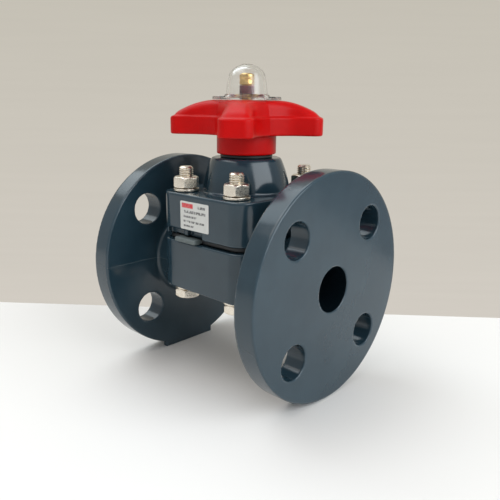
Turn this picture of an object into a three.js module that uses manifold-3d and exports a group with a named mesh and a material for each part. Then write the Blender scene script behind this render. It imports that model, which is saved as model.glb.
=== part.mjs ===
// Flanged plastic diaphragm valve, nominal bore 25 mm, drawn in the open position.
// Millimetres, +Z up. The pipe runs along X, the stem rises along Z at X = Y = 0,
// and Z = 0 is the floor under the two moulded feet.

import * as THREE from "three";
import { mergeVertices } from "three/addons/utils/BufferGeometryUtils.js";
import Module from "manifold-3d";

// ---- Driving dimensions ----

const PIPE_Z = 63.2;                 // height of the pipe axis above the floor
const FACE_TO_FACE = 130;
const CLEARANCE = 0.3;               // gap left between separate pieces

const FLANGE = { radius: 63, thickness: 12.7, edge: 1, circle: 90, hole: 9.5 };
const BORE_R = 12.5;
const FOOT = { halfWidth: 20, thickness: 3.7, top: 13 };
const NECK = { radius: 25, innerEnd: 36, waistRadius: 19.5, waistEnd: 28.6 };

const BLOCK = { halfX: 34, halfY: 38, corner: 11, bottom: PIPE_Z - 9.5, top: PIPE_Z + 19 };
const BONNET = { bottom: PIPE_Z + 22.2, top: PIPE_Z + 46.3, domeTop: PIPE_Z + 65.3 };
const DOME = { baseR: 25.2, topR: 19.5, edge: 0.8 };
const POCKET_R = 12;                 // room for a socket round each nut
const MOULD_EDGE = 0.8;              // broken edges of the two moulded blocks

const BOWL_R = 21.5;                 // opening under the diaphragm
const WEIR = { crest: PIPE_Z + 9.5, halfCrest: 2.2, halfFoot: 8, foot: PIPE_Z - 14 };

const BOLT = { x: 20.2, y: 28.3, radius: 4, hole: 4.5, acrossFlats: 13, head: 5.3 };
const STUD_TOP = PIPE_Z + 60.3;
const WASHER = { inner: 4.3, radius: 7.4, thickness: 1.4 };
const NUT_HEIGHT = 6.3;
const END_CHAMFER = 0.8;             // on the stud ends

const TAB = { left: -17, right: 0, reach: 40.5 };
const NOTCH = { left: -26, right: 3, top: PIPE_Z + 26, depth: 3.5 };
const RIB = { left: -12.5, right: -9.5 };
const LABEL = { left: -14, right: 9, bottom: PIPE_Z + 26.8, top: PIPE_Z + 42.6, thickness: 0.3 };

const STEM_R = 5;
const SLEEVE = { radius: 9, flange: 13, bottom: PIPE_Z + 47.4, flats: 17 };
const THRUST_RING = 1.5;

const WHEEL = { z0: PIPE_Z + 67.3, rim: PIPE_Z + 78, edge: PIPE_Z + 88.2, top: PIPE_Z + 97 };
const SKIRT_R = 17;
const HUB_R = 20;
const ARM = { count: 4, halfWidth: 9.6, reach: 43.2, corner: 5, azimuth: 35.3 };
const WHEEL_WALL = 2.6;
const HUB_NUT = { flats: 17.5, height: 4.3 };
const DUST_SEAL_R = 15;

const COVER = { discR: 19.5, disc: PIPE_Z + 97.3, capR: 12, capTop: PIPE_Z + 116.5, wall: 1.4 };
const INDICATOR = { radius: 4.2, bottom: PIPE_Z + 98.4, band: PIPE_Z + 105, top: PIPE_Z + 111.5 };

// ---- Materials ----

const plastic = (color, roughness) => new THREE.MeshStandardMaterial({ color, roughness, metalness: 0 });
const metal = (color, roughness) => new THREE.MeshStandardMaterial({ color, roughness, metalness: 1 });

const MATERIAL = {
  greyPlastic: plastic(0x39454f, 0.3),
  redPlastic: plastic(0xc8120e, 0.35),
  clearPlastic: plastic(0xe8ece8, 0.1),
  whitePlastic: plastic(0xe6e2d6, 0.5),
  compressorPlastic: plastic(0x8d9296, 0.5),
  rubber: plastic(0x17181a, 0.7),
  stainless: metal(0xc9bfae, 0.3),
  brass: metal(0xb8923f, 0.35),
  bandPlastic: plastic(0x5c1420, 0.45),
  label: plastic(0xeeece6, 0.6),
};

// ---- Solids: three.js shapes joined and cut ----

const wasm = await Module();
wasm.setup();

function solid(geometry) {
  const bare = geometry.clone();
  for (const name of Object.keys(bare.attributes)) {
    if (name !== "position") bare.deleteAttribute(name);
  }
  const merged = mergeVertices(bare, 1e-4);
  const vertProperties = new Float32Array(merged.attributes.position.array);
  const triVerts = new Uint32Array(merged.index.array);
  return new wasm.Manifold(new wasm.Mesh({ numProp: 3, vertProperties, triVerts }));
}

function geometryOf(body) {
  const mesh = body.getMesh();
  const geometry = new THREE.BufferGeometry();
  geometry.setAttribute("position", new THREE.BufferAttribute(mesh.vertProperties, 3));
  geometry.setIndex(new THREE.BufferAttribute(mesh.triVerts, 1));
  geometry.computeVertexNormals();
  return geometry;
}

const join = (...bodies) => bodies.reduce((sum, next) => sum.add(next));
const cut = (body, ...tools) => tools.reduce((rest, tool) => rest.subtract(tool), body);

// Round pieces get more sides the wider they are.
const FEWEST_SIDES = 8;
const RADIUS_PER_STEP = 5.5;         // four more sides for each of these
const sidesFor = (radius) => FEWEST_SIDES + 4 * Math.ceil(radius / RADIUS_PER_STEP);

// A solid turned about +Z from [radius, height] points.
function turned(points) {
  const profile = points.map(([radius, height]) => new THREE.Vector2(radius, height));
  const widest = Math.max(...points.map(([radius]) => radius));
  const geometry = new THREE.LatheGeometry(profile, sidesFor(widest));
  geometry.rotateX(Math.PI / 2);
  const body = solid(geometry);
  return body.volume() < 0 ? solid(flipped(geometry)) : body;
}

function flipped(geometry) {
  const copy = geometry.clone();
  const index = copy.index.array;
  for (let i = 0; i < index.length; i += 3) {
    [index[i], index[i + 1]] = [index[i + 1], index[i]];
  }
  return copy;
}

const rod = (radius, low, high) => turned([[0, low], [radius, low], [radius, high], [0, high]]);

const ring = (inner, outer, low, high) =>
  turned([[inner, low], [outer, low], [outer, high], [inner, high], [inner, low]]);

const alongX = (body) => body.rotate([0, 90, 0]).translate([0, 0, PIPE_Z]);
const alongY = (body) => body.rotate([90, 0, 0]);

function block([x0, y0, z0], [x1, y1, z1]) {
  const geometry = new THREE.BoxGeometry(x1 - x0, y1 - y0, z1 - z0);
  geometry.translate((x0 + x1) / 2, (y0 + y1) / 2, (z0 + z1) / 2);
  return solid(geometry);
}

// A plan outline raised from low to high, with its rims chamfered by edge.
function raised(shape, low, high, edge = 0, curveSegments = 5) {
  const options = { depth: high - low - 2 * edge, curveSegments, bevelEnabled: edge > 0 };
  Object.assign(options, { bevelThickness: edge, bevelSize: edge, bevelOffset: -edge, bevelSegments: 1 });
  const geometry = new THREE.ExtrudeGeometry(shape, options);
  geometry.translate(0, 0, low + edge);
  return solid(geometry);
}

function roundedRectangle(halfX, halfY, corner) {
  const shape = new THREE.Shape();
  shape.moveTo(halfX, corner - halfY);
  shape.absarc(halfX - corner, halfY - corner, corner, 0, Math.PI / 2);
  shape.absarc(corner - halfX, halfY - corner, corner, Math.PI / 2, Math.PI);
  shape.absarc(corner - halfX, corner - halfY, corner, Math.PI, 1.5 * Math.PI);
  shape.absarc(halfX - corner, corner - halfY, corner, 1.5 * Math.PI, 2 * Math.PI);
  return shape;
}

function hexagon(acrossFlats) {
  const corner = acrossFlats / Math.sqrt(3);
  const points = [0, 1, 2, 3, 4, 5].map((i) => {
    const angle = (i * Math.PI) / 3;
    return new THREE.Vector2(corner * Math.cos(angle), corner * Math.sin(angle));
  });
  return new THREE.Shape(points);
}

const hexPrism = (acrossFlats, low, high) => raised(hexagon(acrossFlats), low, high);

const SIGNS = [-1, 1];
const BOLT_PLACES = SIGNS.flatMap((sx) => SIGNS.map((sy) => [sx * BOLT.x, sy * BOLT.y]));
const boltHoles = (radius, low, high) =>
  BOLT_PLACES.map(([x, y]) => rod(radius, low, high).translate([x, y, 0]));

// ---- The model ----

const model = new THREE.Group();
model.name = "diaphragm_valve";

function add(name, material, body) {
  const mesh = new THREE.Mesh(geometryOf(body), material);
  mesh.name = name;
  model.add(mesh);
}

// ---- Body: two flanges, two necks, a weir and the block the bonnet bolts to ----

function flangePair() {
  const outer = FACE_TO_FACE / 2;
  const inner = outer - FLANGE.thickness;
  const { radius, edge } = FLANGE;
  const profile = [[0, inner], [radius - edge, inner], [radius, inner + edge]];
  profile.push([radius, outer - edge], [radius - edge, outer], [0, outer]);
  const right = alongX(turned(profile));
  return join(right, right.rotate([0, 0, 180]));
}

function flangeHoles() {
  const offset = (FLANGE.circle / 2) * Math.SQRT1_2;
  const holes = [];
  for (const sy of SIGNS) {
    for (const sz of SIGNS) {
      const hole = alongX(rod(FLANGE.hole, -FACE_TO_FACE, FACE_TO_FACE));
      holes.push(hole.translate([0, sy * offset, sz * offset]));
    }
  }
  return holes;
}

function feet() {
  const inner = FACE_TO_FACE / 2 - FLANGE.thickness;
  const foot = block([inner, -FOOT.halfWidth, 0], [inner + FOOT.thickness, FOOT.halfWidth, FOOT.top]);
  return join(foot, foot.rotate([0, 0, 180]));
}

function neck() {
  const { radius, innerEnd, waistRadius, waistEnd } = NECK;
  const flangeSide = FACE_TO_FACE / 2 - 1;
  const profile = [[0, -flangeSide], [radius, -flangeSide], [radius, -innerEnd], [waistRadius, -waistEnd]];
  profile.push([waistRadius, waistEnd], [radius, innerEnd], [radius, flangeSide], [0, flangeSide]);
  const tube = alongX(turned(profile));
  const reach = innerEnd + 1;
  return cut(tube, block([-reach, -radius, BLOCK.top], [reach, radius, BLOCK.top + radius]));
}

function flowPassage() {
  const bowl = [[0, -9], [10, -8.2], [17, -4], [20.5, 4], [BOWL_R, 12], [BOWL_R, 20], [0, 20]];
  const chamber = turned(bowl.map(([r, z]) => [r, z + PIPE_Z]));
  return join(alongX(rod(BORE_R, -FACE_TO_FACE, FACE_TO_FACE)), chamber);
}

// The weir is a wall across the bore whose top dips in the middle, where the diaphragm seats.
function weir() {
  const side = new THREE.Shape();
  side.moveTo(-WEIR.halfFoot, WEIR.foot);
  side.lineTo(WEIR.halfFoot, WEIR.foot);
  side.quadraticCurveTo(WEIR.halfCrest, PIPE_Z - 4, WEIR.halfCrest, WEIR.crest);
  side.lineTo(WEIR.halfCrest, BLOCK.top);
  side.lineTo(-WEIR.halfCrest, BLOCK.top);
  side.lineTo(-WEIR.halfCrest, WEIR.crest);
  side.quadraticCurveTo(-WEIR.halfCrest, PIPE_Z - 4, -WEIR.halfFoot, WEIR.foot);
  const geometry = new THREE.ExtrudeGeometry(side, { depth: 2 * BOWL_R, bevelEnabled: false, curveSegments: 5 });
  geometry.translate(0, 0, -BOWL_R);
  geometry.rotateX(Math.PI / 2);
  const wall = solid(geometry);
  const drop = BLOCK.top - WEIR.crest;
  const saddleR = (BOWL_R * BOWL_R + drop * drop) / (2 * drop);
  const saddle = alongX(rod(saddleR, -BOWL_R, BOWL_R));
  const inBowl = join(rod(BOWL_R + 1, WEIR.foot, BLOCK.top), alongX(rod(BORE_R + 1, -12, 12)));
  return cut(wall, saddle.translate([0, 0, WEIR.crest - PIPE_Z + saddleR])).intersect(inBowl);
}

function valveBody() {
  const plan = roundedRectangle(BLOCK.halfX, BLOCK.halfY, BLOCK.corner);
  const outside = join(flangePair(), feet(), neck(), raised(plan, BLOCK.bottom, BLOCK.top, MOULD_EDGE));
  const holes = boltHoles(BOLT.hole, BLOCK.bottom - 1, BLOCK.top + 1);
  const hollow = cut(outside, flowPassage(), ...flangeHoles(), ...holes);
  return join(hollow, weir());
}

add("valve_body", MATERIAL.greyPlastic, valveBody());

// ---- Bonnet: bolted flange, domed neck and the bearing for the sleeve ----

function bonnetDome() {
  const { baseR, topR, edge } = DOME;
  const rise = BONNET.domeTop - BONNET.top;
  const profile = [[0, BONNET.top - 2], [baseR + 0.4, BONNET.top - 2], [baseR, BONNET.top + 2]];
  profile.push([baseR - 1, BONNET.top + 0.35 * rise], [baseR - 3, BONNET.top + 0.7 * rise]);
  profile.push([topR + 0.5, BONNET.domeTop - edge], [topR - edge, BONNET.domeTop], [0, BONNET.domeTop]);
  const pockets = boltHoles(POCKET_R, BONNET.top, BONNET.domeTop + 1);
  return cut(turned(profile), ...pockets);
}

const RING_GROOVE = { low: PIPE_Z + 59, high: PIPE_Z + 61.6, radius: 11.2 };
const SLEEVE_STEP = SLEEVE.bottom + 2 * (THRUST_RING + CLEARANCE) + 4;
const CAVITY = { radius: 20.4, top: PIPE_Z + 44 };
const FIN = { halfWidth: 3, reach: 19 };

function bonnet() {
  const plan = roundedRectangle(BLOCK.halfX, BLOCK.halfY, BLOCK.corner);
  const outside = join(raised(plan, BONNET.bottom, BONNET.top, MOULD_EDGE), bonnetDome());
  const bearing = SLEEVE.radius + CLEARANCE;
  const cavity = rod(CAVITY.radius, BONNET.bottom - 1, CAVITY.top);
  const counterbore = rod(SLEEVE.flange + 1, BONNET.bottom, SLEEVE_STEP);
  const shaftHole = rod(bearing, BONNET.bottom, BONNET.domeTop + 1);
  const groove = ring(bearing - 1, RING_GROOVE.radius, RING_GROOVE.low, RING_GROOVE.high);
  const face = -BLOCK.halfY;
  const notch = block([NOTCH.left, face - 1, BONNET.bottom - 1], [NOTCH.right, face + NOTCH.depth, NOTCH.top]);
  const rib = block([RIB.left, face + 0.8, BONNET.bottom + 0.6], [RIB.right, face + NOTCH.depth + 1, NOTCH.top]);
  const holes = boltHoles(BOLT.hole, BONNET.bottom - 1, BONNET.top + 1);
  return join(cut(outside, cavity, counterbore, shaftHole, groove, notch, ...holes), rib);
}

add("bonnet", MATERIAL.greyPlastic, bonnet());

// ---- Diaphragm: rubber sheet clamped between body and bonnet, with its tab ----

const SHEET = { low: BLOCK.top + CLEARANCE, high: BONNET.bottom - CLEARANCE, inset: 3 };
const BOSS = { low: PIPE_Z + 24.5, high: PIPE_Z + 27.3, radius: 9 };
const INSERT = { radius: 5, thickness: 1.2, stud: 2.5, top: PIPE_Z + 29.2 };

function diaphragm() {
  const plan = roundedRectangle(BLOCK.halfX - SHEET.inset, BLOCK.halfY - SHEET.inset, BLOCK.corner - SHEET.inset);
  const sheet = raised(plan, SHEET.low, SHEET.high);
  const face = SHEET.inset - BLOCK.halfY;
  const tab = block([TAB.left, -TAB.reach, SHEET.low], [TAB.right, face + 2, SHEET.high]);
  const rim = 19;
  const opening = rod(rim, SHEET.low - 1, SHEET.high + 1);
  const dome = [[0, BOSS.low], [BOSS.radius, BOSS.low], [14, SHEET.low + 3], [rim, SHEET.low], [rim + 1, SHEET.low]];
  dome.push([rim + 1, SHEET.high], [rim - 0.5, SHEET.high], [14.5, SHEET.high + 3.4]);
  dome.push([BOSS.radius, BOSS.high], [0, BOSS.high]);
  const pocket = rod(INSERT.radius + CLEARANCE, BOSS.high - INSERT.thickness - 2 * CLEARANCE, BOSS.high + 1);
  const holes = boltHoles(BOLT.hole, SHEET.low - 1, SHEET.high + 1);
  return cut(join(cut(join(sheet, tab), opening), turned(dome)), pocket, ...holes);
}

add("diaphragm", MATERIAL.rubber, diaphragm());

function diaphragmInsert() {
  const low = BOSS.high - INSERT.thickness - CLEARANCE;
  const { radius, thickness, stud, top } = INSERT;
  const profile = [[0, low], [radius, low], [radius, low + thickness], [stud, low + thickness], [stud, top]];
  return turned([...profile, [0, top]]);
}

add("diaphragm_insert", MATERIAL.stainless, diaphragmInsert());

// ---- Compressor and stem, which rise and fall without turning ----

const COMPRESSOR = { low: BOSS.high + CLEARANCE, top: PIPE_Z + 41.4, radius: 13 };
const STEM_LOW = PIPE_Z + 30;
const PIN = { radius: 1.5, halfLength: 10, z: PIPE_Z + 36 };

function compressor() {
  const { low, top, radius } = COMPRESSOR;
  const profile = [[0, low], [6, low + 0.4], [radius, low + 3.6], [radius, low + 7]];
  const barrel = turned([...profile, [radius - 2.5, top], [0, top]]);
  const fins = block([-FIN.halfWidth, -FIN.reach, low + 5], [FIN.halfWidth, FIN.reach, top - 2]);
  const stemHole = rod(STEM_R + CLEARANCE, STEM_LOW - CLEARANCE, top + 1);
  const studHole = rod(INSERT.stud + CLEARANCE, low - 1, STEM_LOW);
  const pinHole = alongY(rod(PIN.radius + CLEARANCE, -20, 20)).translate([0, 0, PIN.z]);
  return cut(join(barrel, fins), stemHole, studHole, pinHole);
}

add("compressor", MATERIAL.compressorPlastic, compressor());

const STEM_SHOULDER = PIPE_Z + 84;
const SPINDLE_R = 3;

function stem() {
  const { radius, band, top } = INDICATOR;
  const profile = [[0, STEM_LOW], [STEM_R, STEM_LOW], [STEM_R, STEM_SHOULDER], [SPINDLE_R, STEM_SHOULDER]];
  profile.push([SPINDLE_R, band], [radius, band], [radius, top - 0.5], [radius - 0.5, top], [0, top]);
  const pinHole = alongY(rod(PIN.radius + CLEARANCE, -20, 20)).translate([0, 0, PIN.z]);
  return cut(turned(profile), pinHole);
}

add("stem", MATERIAL.brass, stem());
add("compressor_pin", MATERIAL.stainless,
  alongY(rod(PIN.radius, -PIN.halfLength, PIN.halfLength)).translate([0, 0, PIN.z]));
add("indicator_band", MATERIAL.bandPlastic,
  ring(SPINDLE_R + CLEARANCE, INDICATOR.radius, INDICATOR.bottom, INDICATOR.band - CLEARANCE));

// ---- Sleeve: the turning nut that drives the stem, with its thrust rings and seals ----

const RETAINER = { low: PIPE_Z + 44.2, inner: 6.2 };
const DRIVE = { low: PIPE_Z + 70, top: PIPE_Z + 90 };
const SLEEVE_TOP = PIPE_Z + 95.6;
const THREAD_R = 7.6;

function sleeve() {
  const low = SLEEVE.bottom + THRUST_RING + CLEARANCE;
  const { flange, radius, flats } = SLEEVE;
  const profile = [[STEM_R + CLEARANCE, low], [flange, low], [flange, low + 4], [radius, low + 4]];
  profile.push([radius, DRIVE.low], [THREAD_R, DRIVE.low], [THREAD_R, SLEEVE_TOP]);
  profile.push([STEM_R + CLEARANCE, SLEEVE_TOP], [STEM_R + CLEARANCE, low]);
  const drive = cut(hexPrism(flats - 1.6, DRIVE.low - 1, DRIVE.top), rod(6.5, 0, SLEEVE_TOP));
  return join(turned(profile), drive);
}

add("sleeve", MATERIAL.brass, sleeve());

const thrustRing = (low) => ring(SLEEVE.radius + CLEARANCE, SLEEVE.flange - CLEARANCE, low, low + THRUST_RING);
add("thrust_ring_upper", MATERIAL.whitePlastic,
  thrustRing(SLEEVE_STEP - CLEARANCE - THRUST_RING + 0.1));
add("thrust_ring_lower", MATERIAL.whitePlastic, thrustRing(SLEEVE.bottom + 0.1));
add("sleeve_retainer", MATERIAL.compressorPlastic,
  ring(RETAINER.inner, SLEEVE.flange + 1 - CLEARANCE, RETAINER.low, SLEEVE.bottom - CLEARANCE));
add("sleeve_o_ring", MATERIAL.rubber,
  ring(SLEEVE.radius + CLEARANCE, RING_GROOVE.radius - CLEARANCE,
    RING_GROOVE.low + CLEARANCE, RING_GROOVE.high - CLEARANCE));

add("dust_seal", MATERIAL.rubber,
  ring(SLEEVE.radius + CLEARANCE, DUST_SEAL_R, BONNET.domeTop + 0.2, WHEEL.z0 - CLEARANCE));

// ---- Handwheel: skirted hub and domed arms, hollow underneath ----

const HUB_RECESS = { radius: 13, bottom: PIPE_Z + 90 };

function crownedArm() {
  const { halfWidth, reach } = ARM;
  const section = new THREE.Shape();
  section.moveTo(-halfWidth, WHEEL.rim);
  section.lineTo(halfWidth, WHEEL.rim);
  section.lineTo(halfWidth, WHEEL.edge);
  section.quadraticCurveTo(halfWidth * 0.8, WHEEL.top, halfWidth * 0.3, WHEEL.top + 0.5);
  section.lineTo(-halfWidth * 0.3, WHEEL.top + 0.5);
  section.quadraticCurveTo(-halfWidth * 0.8, WHEEL.top, -halfWidth, WHEEL.edge);
  const geometry = new THREE.ExtrudeGeometry(section, { depth: reach, bevelEnabled: false, curveSegments: 4 });
  geometry.rotateX(Math.PI / 2);
  geometry.rotateZ(Math.PI / 2);
  return solid(geometry);
}

function armTip() {
  const tip = roundedRectangle(ARM.reach, ARM.halfWidth, ARM.corner);
  return raised(tip, WHEEL.rim, WHEEL.top + 1, 0, 3);
}

function armPocket() {
  const inside = ARM.halfWidth - WHEEL_WALL;
  const low = SKIRT_R + WHEEL_WALL;
  return block([low, -inside, WHEEL.rim - 1], [ARM.reach - WHEEL_WALL - 1, inside, WHEEL.edge - WHEEL_WALL - 2]);
}

function handwheel() {
  const dome = [[0, WHEEL.rim], [48, WHEEL.rim], [48, PIPE_Z + 84.8], [ARM.reach, PIPE_Z + 87]];
  dome.push([40.5, PIPE_Z + 89.7], [36, PIPE_Z + 92], [31, PIPE_Z + 94.2], [25, PIPE_Z + 96.2]);
  dome.push([HUB_R, WHEEL.top], [0, WHEEL.top]);
  const turns = Array.from({ length: ARM.count }, (_, i) => ARM.azimuth + (360 / ARM.count) * i);
  const arm = crownedArm().intersect(armTip());
  const arms = join(...turns.map((angle) => arm.rotate([0, 0, angle]))).intersect(turned(dome));
  const hub = [[0, WHEEL.z0], [SKIRT_R, WHEEL.z0], [SKIRT_R, WHEEL.rim], [HUB_R + 1.6, WHEEL.rim]];
  hub.push([HUB_R + 1.6, WHEEL.edge], [HUB_R, WHEEL.top], [0, WHEEL.top]);
  const pockets = turns.map((angle) => armPocket().rotate([0, 0, angle]));
  const skirtHollow = ring(SLEEVE.radius + WHEEL_WALL, SKIRT_R - WHEEL_WALL, WHEEL.z0 - 1, WHEEL.rim + 6);
  const drive = hexPrism(SLEEVE.flats - 1, WHEEL.z0 + 2, HUB_RECESS.bottom + 1);
  const entry = rod(SLEEVE.radius + CLEARANCE, WHEEL.z0 - 1, DRIVE.low + CLEARANCE);
  const recess = rod(HUB_RECESS.radius, HUB_RECESS.bottom, WHEEL.top + 1);
  return cut(join(arms, turned(hub)), ...pockets, skirtHollow, drive, entry, recess);
}

add("handwheel", MATERIAL.redPlastic, handwheel());
add("handwheel_nut", MATERIAL.brass,
  cut(hexPrism(HUB_NUT.flats, DRIVE.top + CLEARANCE, DRIVE.top + CLEARANCE + HUB_NUT.height),
    rod(THREAD_R + CLEARANCE, 0, SLEEVE_TOP)));

// ---- Clear gauge cover: a disc, a snap skirt and the domed cap over the indicator ----

function gaugeCover() {
  const { discR, disc, capR, capTop, wall } = COVER;
  const outer = [[0, capTop], [4, capTop - 0.5], [7.5, capTop - 2.3], [9.6, capTop - 5]];
  outer.push([10.8, capTop - 9], [capR - 0.5, disc + 4], [capR, disc + 1.5], [discR - 0.3, disc + 1.5]);
  outer.push([discR, disc + 1.2], [discR, disc + 0.2], [discR - 0.2, disc]);
  const snap = [[12.7, disc], [12.7, disc - 3.6], [capR - wall, disc - 3.6]];
  const inner = [[capR - wall, disc + 2], [10.8 - wall, capTop - 9], [9.6 - wall, capTop - 5.6]];
  inner.push([6, capTop - 3.3], [0, capTop - wall]);
  return turned([...outer, ...snap, ...inner]);
}

add("gauge_cover", MATERIAL.clearPlastic, gaugeCover());

// ---- Label plate on the front of the bonnet ----

add("name_label", MATERIAL.label,
  block([LABEL.left, -BLOCK.halfY - 0.05 - LABEL.thickness, LABEL.bottom],
    [LABEL.right, -BLOCK.halfY - 0.05, LABEL.top]));

// ---- Through bolts that clamp bonnet, diaphragm and body ----

const NUT_LOW = BONNET.top + WASHER.thickness + 2 * CLEARANCE;
const HEAD_TOP = BLOCK.bottom - WASHER.thickness - 2 * CLEARANCE;

function bolt() {
  const shank = turned([[0, HEAD_TOP - 1], [BOLT.radius, HEAD_TOP - 1], [BOLT.radius, STUD_TOP - END_CHAMFER],
    [BOLT.radius - END_CHAMFER, STUD_TOP], [0, STUD_TOP]]);
  return join(hexPrism(BOLT.acrossFlats, HEAD_TOP - BOLT.head, HEAD_TOP), shank);
}

const washer = (low) => ring(WASHER.inner, WASHER.radius, low, low + WASHER.thickness);
const nut = () => {
  const blank = hexPrism(BOLT.acrossFlats, NUT_LOW, NUT_LOW + NUT_HEIGHT);
  return cut(blank, rod(WASHER.inner, NUT_LOW - 1, STUD_TOP));
};

BOLT_PLACES.forEach(([x, y], i) => {
  const spot = [x, y, 0];
  add(`body_bolt_${i + 1}`, MATERIAL.stainless, bolt().translate(spot));
  add(`bolt_nut_${i + 1}`, MATERIAL.stainless, nut().translate(spot));
  add(`upper_washer_${i + 1}`, MATERIAL.stainless, washer(BONNET.top + CLEARANCE).translate(spot));
  add(`lower_washer_${i + 1}`, MATERIAL.stainless, washer(HEAD_TOP + CLEARANCE).translate(spot));
});

export default model;
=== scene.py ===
"""Flanged plastic diaphragm valve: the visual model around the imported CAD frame.

Moulded pieces are written as signed distance fields in millimetres, with the pipe along X
and z = 0 on the pipe axis, and turned into meshes whose corners lie on the field.
Turned and hexagonal metal pieces are swept from profiles.
"""
import math
import bpy
import numpy as np
from mathutils import Matrix, Vector


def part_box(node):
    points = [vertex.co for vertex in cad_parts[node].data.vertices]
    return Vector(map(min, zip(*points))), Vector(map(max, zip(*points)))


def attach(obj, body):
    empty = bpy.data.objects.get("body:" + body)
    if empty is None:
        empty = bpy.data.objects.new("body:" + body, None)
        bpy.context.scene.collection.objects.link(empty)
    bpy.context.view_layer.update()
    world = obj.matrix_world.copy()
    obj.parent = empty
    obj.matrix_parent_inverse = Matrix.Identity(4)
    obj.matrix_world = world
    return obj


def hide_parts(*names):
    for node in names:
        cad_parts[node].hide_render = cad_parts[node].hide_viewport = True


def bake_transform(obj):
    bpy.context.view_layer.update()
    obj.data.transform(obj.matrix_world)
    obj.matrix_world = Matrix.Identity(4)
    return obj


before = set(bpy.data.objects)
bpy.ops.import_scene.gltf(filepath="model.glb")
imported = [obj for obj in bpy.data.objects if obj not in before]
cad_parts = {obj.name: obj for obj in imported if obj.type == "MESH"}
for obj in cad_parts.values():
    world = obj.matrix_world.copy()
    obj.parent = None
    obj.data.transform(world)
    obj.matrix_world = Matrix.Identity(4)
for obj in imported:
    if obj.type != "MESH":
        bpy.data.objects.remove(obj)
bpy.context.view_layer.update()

MM = 0.001
body_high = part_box("valve_body")[1]
FLANGE_R = 63.0
PIPE_Z = body_high[2] / MM - FLANGE_R
HALF_LENGTH = body_high[0] / MM


def levels(node):
    """Lowest and highest z of a CAD node, in mm from the pipe axis."""
    low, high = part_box(node)
    return low[2] / MM - PIPE_Z, high[2] / MM - PIPE_Z


# ---- Distance field pieces ----

def smooth_max(a, b, r):
    h = np.maximum(r - np.abs(a - b), 0.0)
    return np.maximum(a, b) + h * h / (4.0 * r)


def smooth_min(a, b, r):
    return -smooth_max(-a, -b, r)


def slab(t, low, high):
    return np.maximum(low - t, t - high)


def disc(radial, axial, radius, low, high, edge):
    """A round plate with rounded rims."""
    u = radial - radius + edge
    v = slab(axial, low, high) + edge
    return np.minimum(np.maximum(u, v), 0.0) + np.hypot(np.maximum(u, 0.0), np.maximum(v, 0.0)) - edge


def box_field(x, y, z, low, high, edge):
    q = [slab(t, a, b) + edge for t, a, b in zip((x, y, z), low, high)]
    outside = np.sqrt(sum(np.maximum(t, 0.0) ** 2 for t in q))
    return outside + np.minimum(np.maximum(np.maximum(q[0], q[1]), q[2]), 0.0) - edge


def rounded_plan(x, y, half_x, half_y, corner):
    u = np.abs(x) - half_x + corner
    v = np.abs(y) - half_y + corner
    return np.hypot(np.maximum(u, 0.0), np.maximum(v, 0.0)) + np.minimum(np.maximum(u, v), 0.0) - corner


def raised(plan, z, low, high, edge):
    """A plan outline between two heights, with rounded rims."""
    u = plan + edge
    v = slab(z, low, high) + edge
    return np.minimum(np.maximum(u, v), 0.0) + np.hypot(np.maximum(u, 0.0), np.maximum(v, 0.0)) - edge


def drilled(field, hole, rim):
    """Cut a hole whose mouth is broken by a small round."""
    return smooth_max(field, -hole, rim)


# ---- From field to mesh ----

def gradient(field, points):
    step = 0.04
    parts = []
    for axis in range(3):
        shift = np.zeros(3)
        shift[axis] = step
        ahead, behind = points + shift, points - shift
        parts.append(field(*ahead.T) - field(*behind.T))
    return np.stack(parts, axis=1) / (2.0 * step)


def sample(field, axes, block=8):
    """Field values on a grid, exact near the surface and roughly signed elsewhere."""
    counts = [len(a) for a in axes]
    pitch = max(a[1] - a[0] for a in axes)
    coarse = [a[np.minimum(np.arange(0, n + block, block), n - 1)] for a, n in zip(axes, counts)]
    centres = [(a[1:] + a[:-1]) / 2.0 for a in coarse]
    centre_grid = np.meshgrid(*centres, indexing="ij")
    rough = field(*(g.ravel() for g in centre_grid)).reshape(centre_grid[0].shape)
    reach = block * pitch * math.sqrt(3.0) / 2.0 * 1.15 + pitch
    values = np.repeat(np.repeat(np.repeat(rough, block, 0), block, 1), block, 2)
    values = values[:counts[0], :counts[1], :counts[2]].astype(np.float32)
    near = np.argwhere(np.abs(rough) < reach)
    offsets = np.stack(np.meshgrid(*[np.arange(block + 1)] * 3, indexing="ij"), -1).reshape(-1, 3)
    for chunk in np.array_split(near, max(1, len(near) // 400)):
        index = (chunk[:, None, :] * block + offsets[None]).reshape(-1, 3)
        index = index[(index < np.array(counts)).all(axis=1)]
        i, j, k = index.T
        values[i, j, k] = field(axes[0][i], axes[1][j], axes[2][k])
    return values


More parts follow.
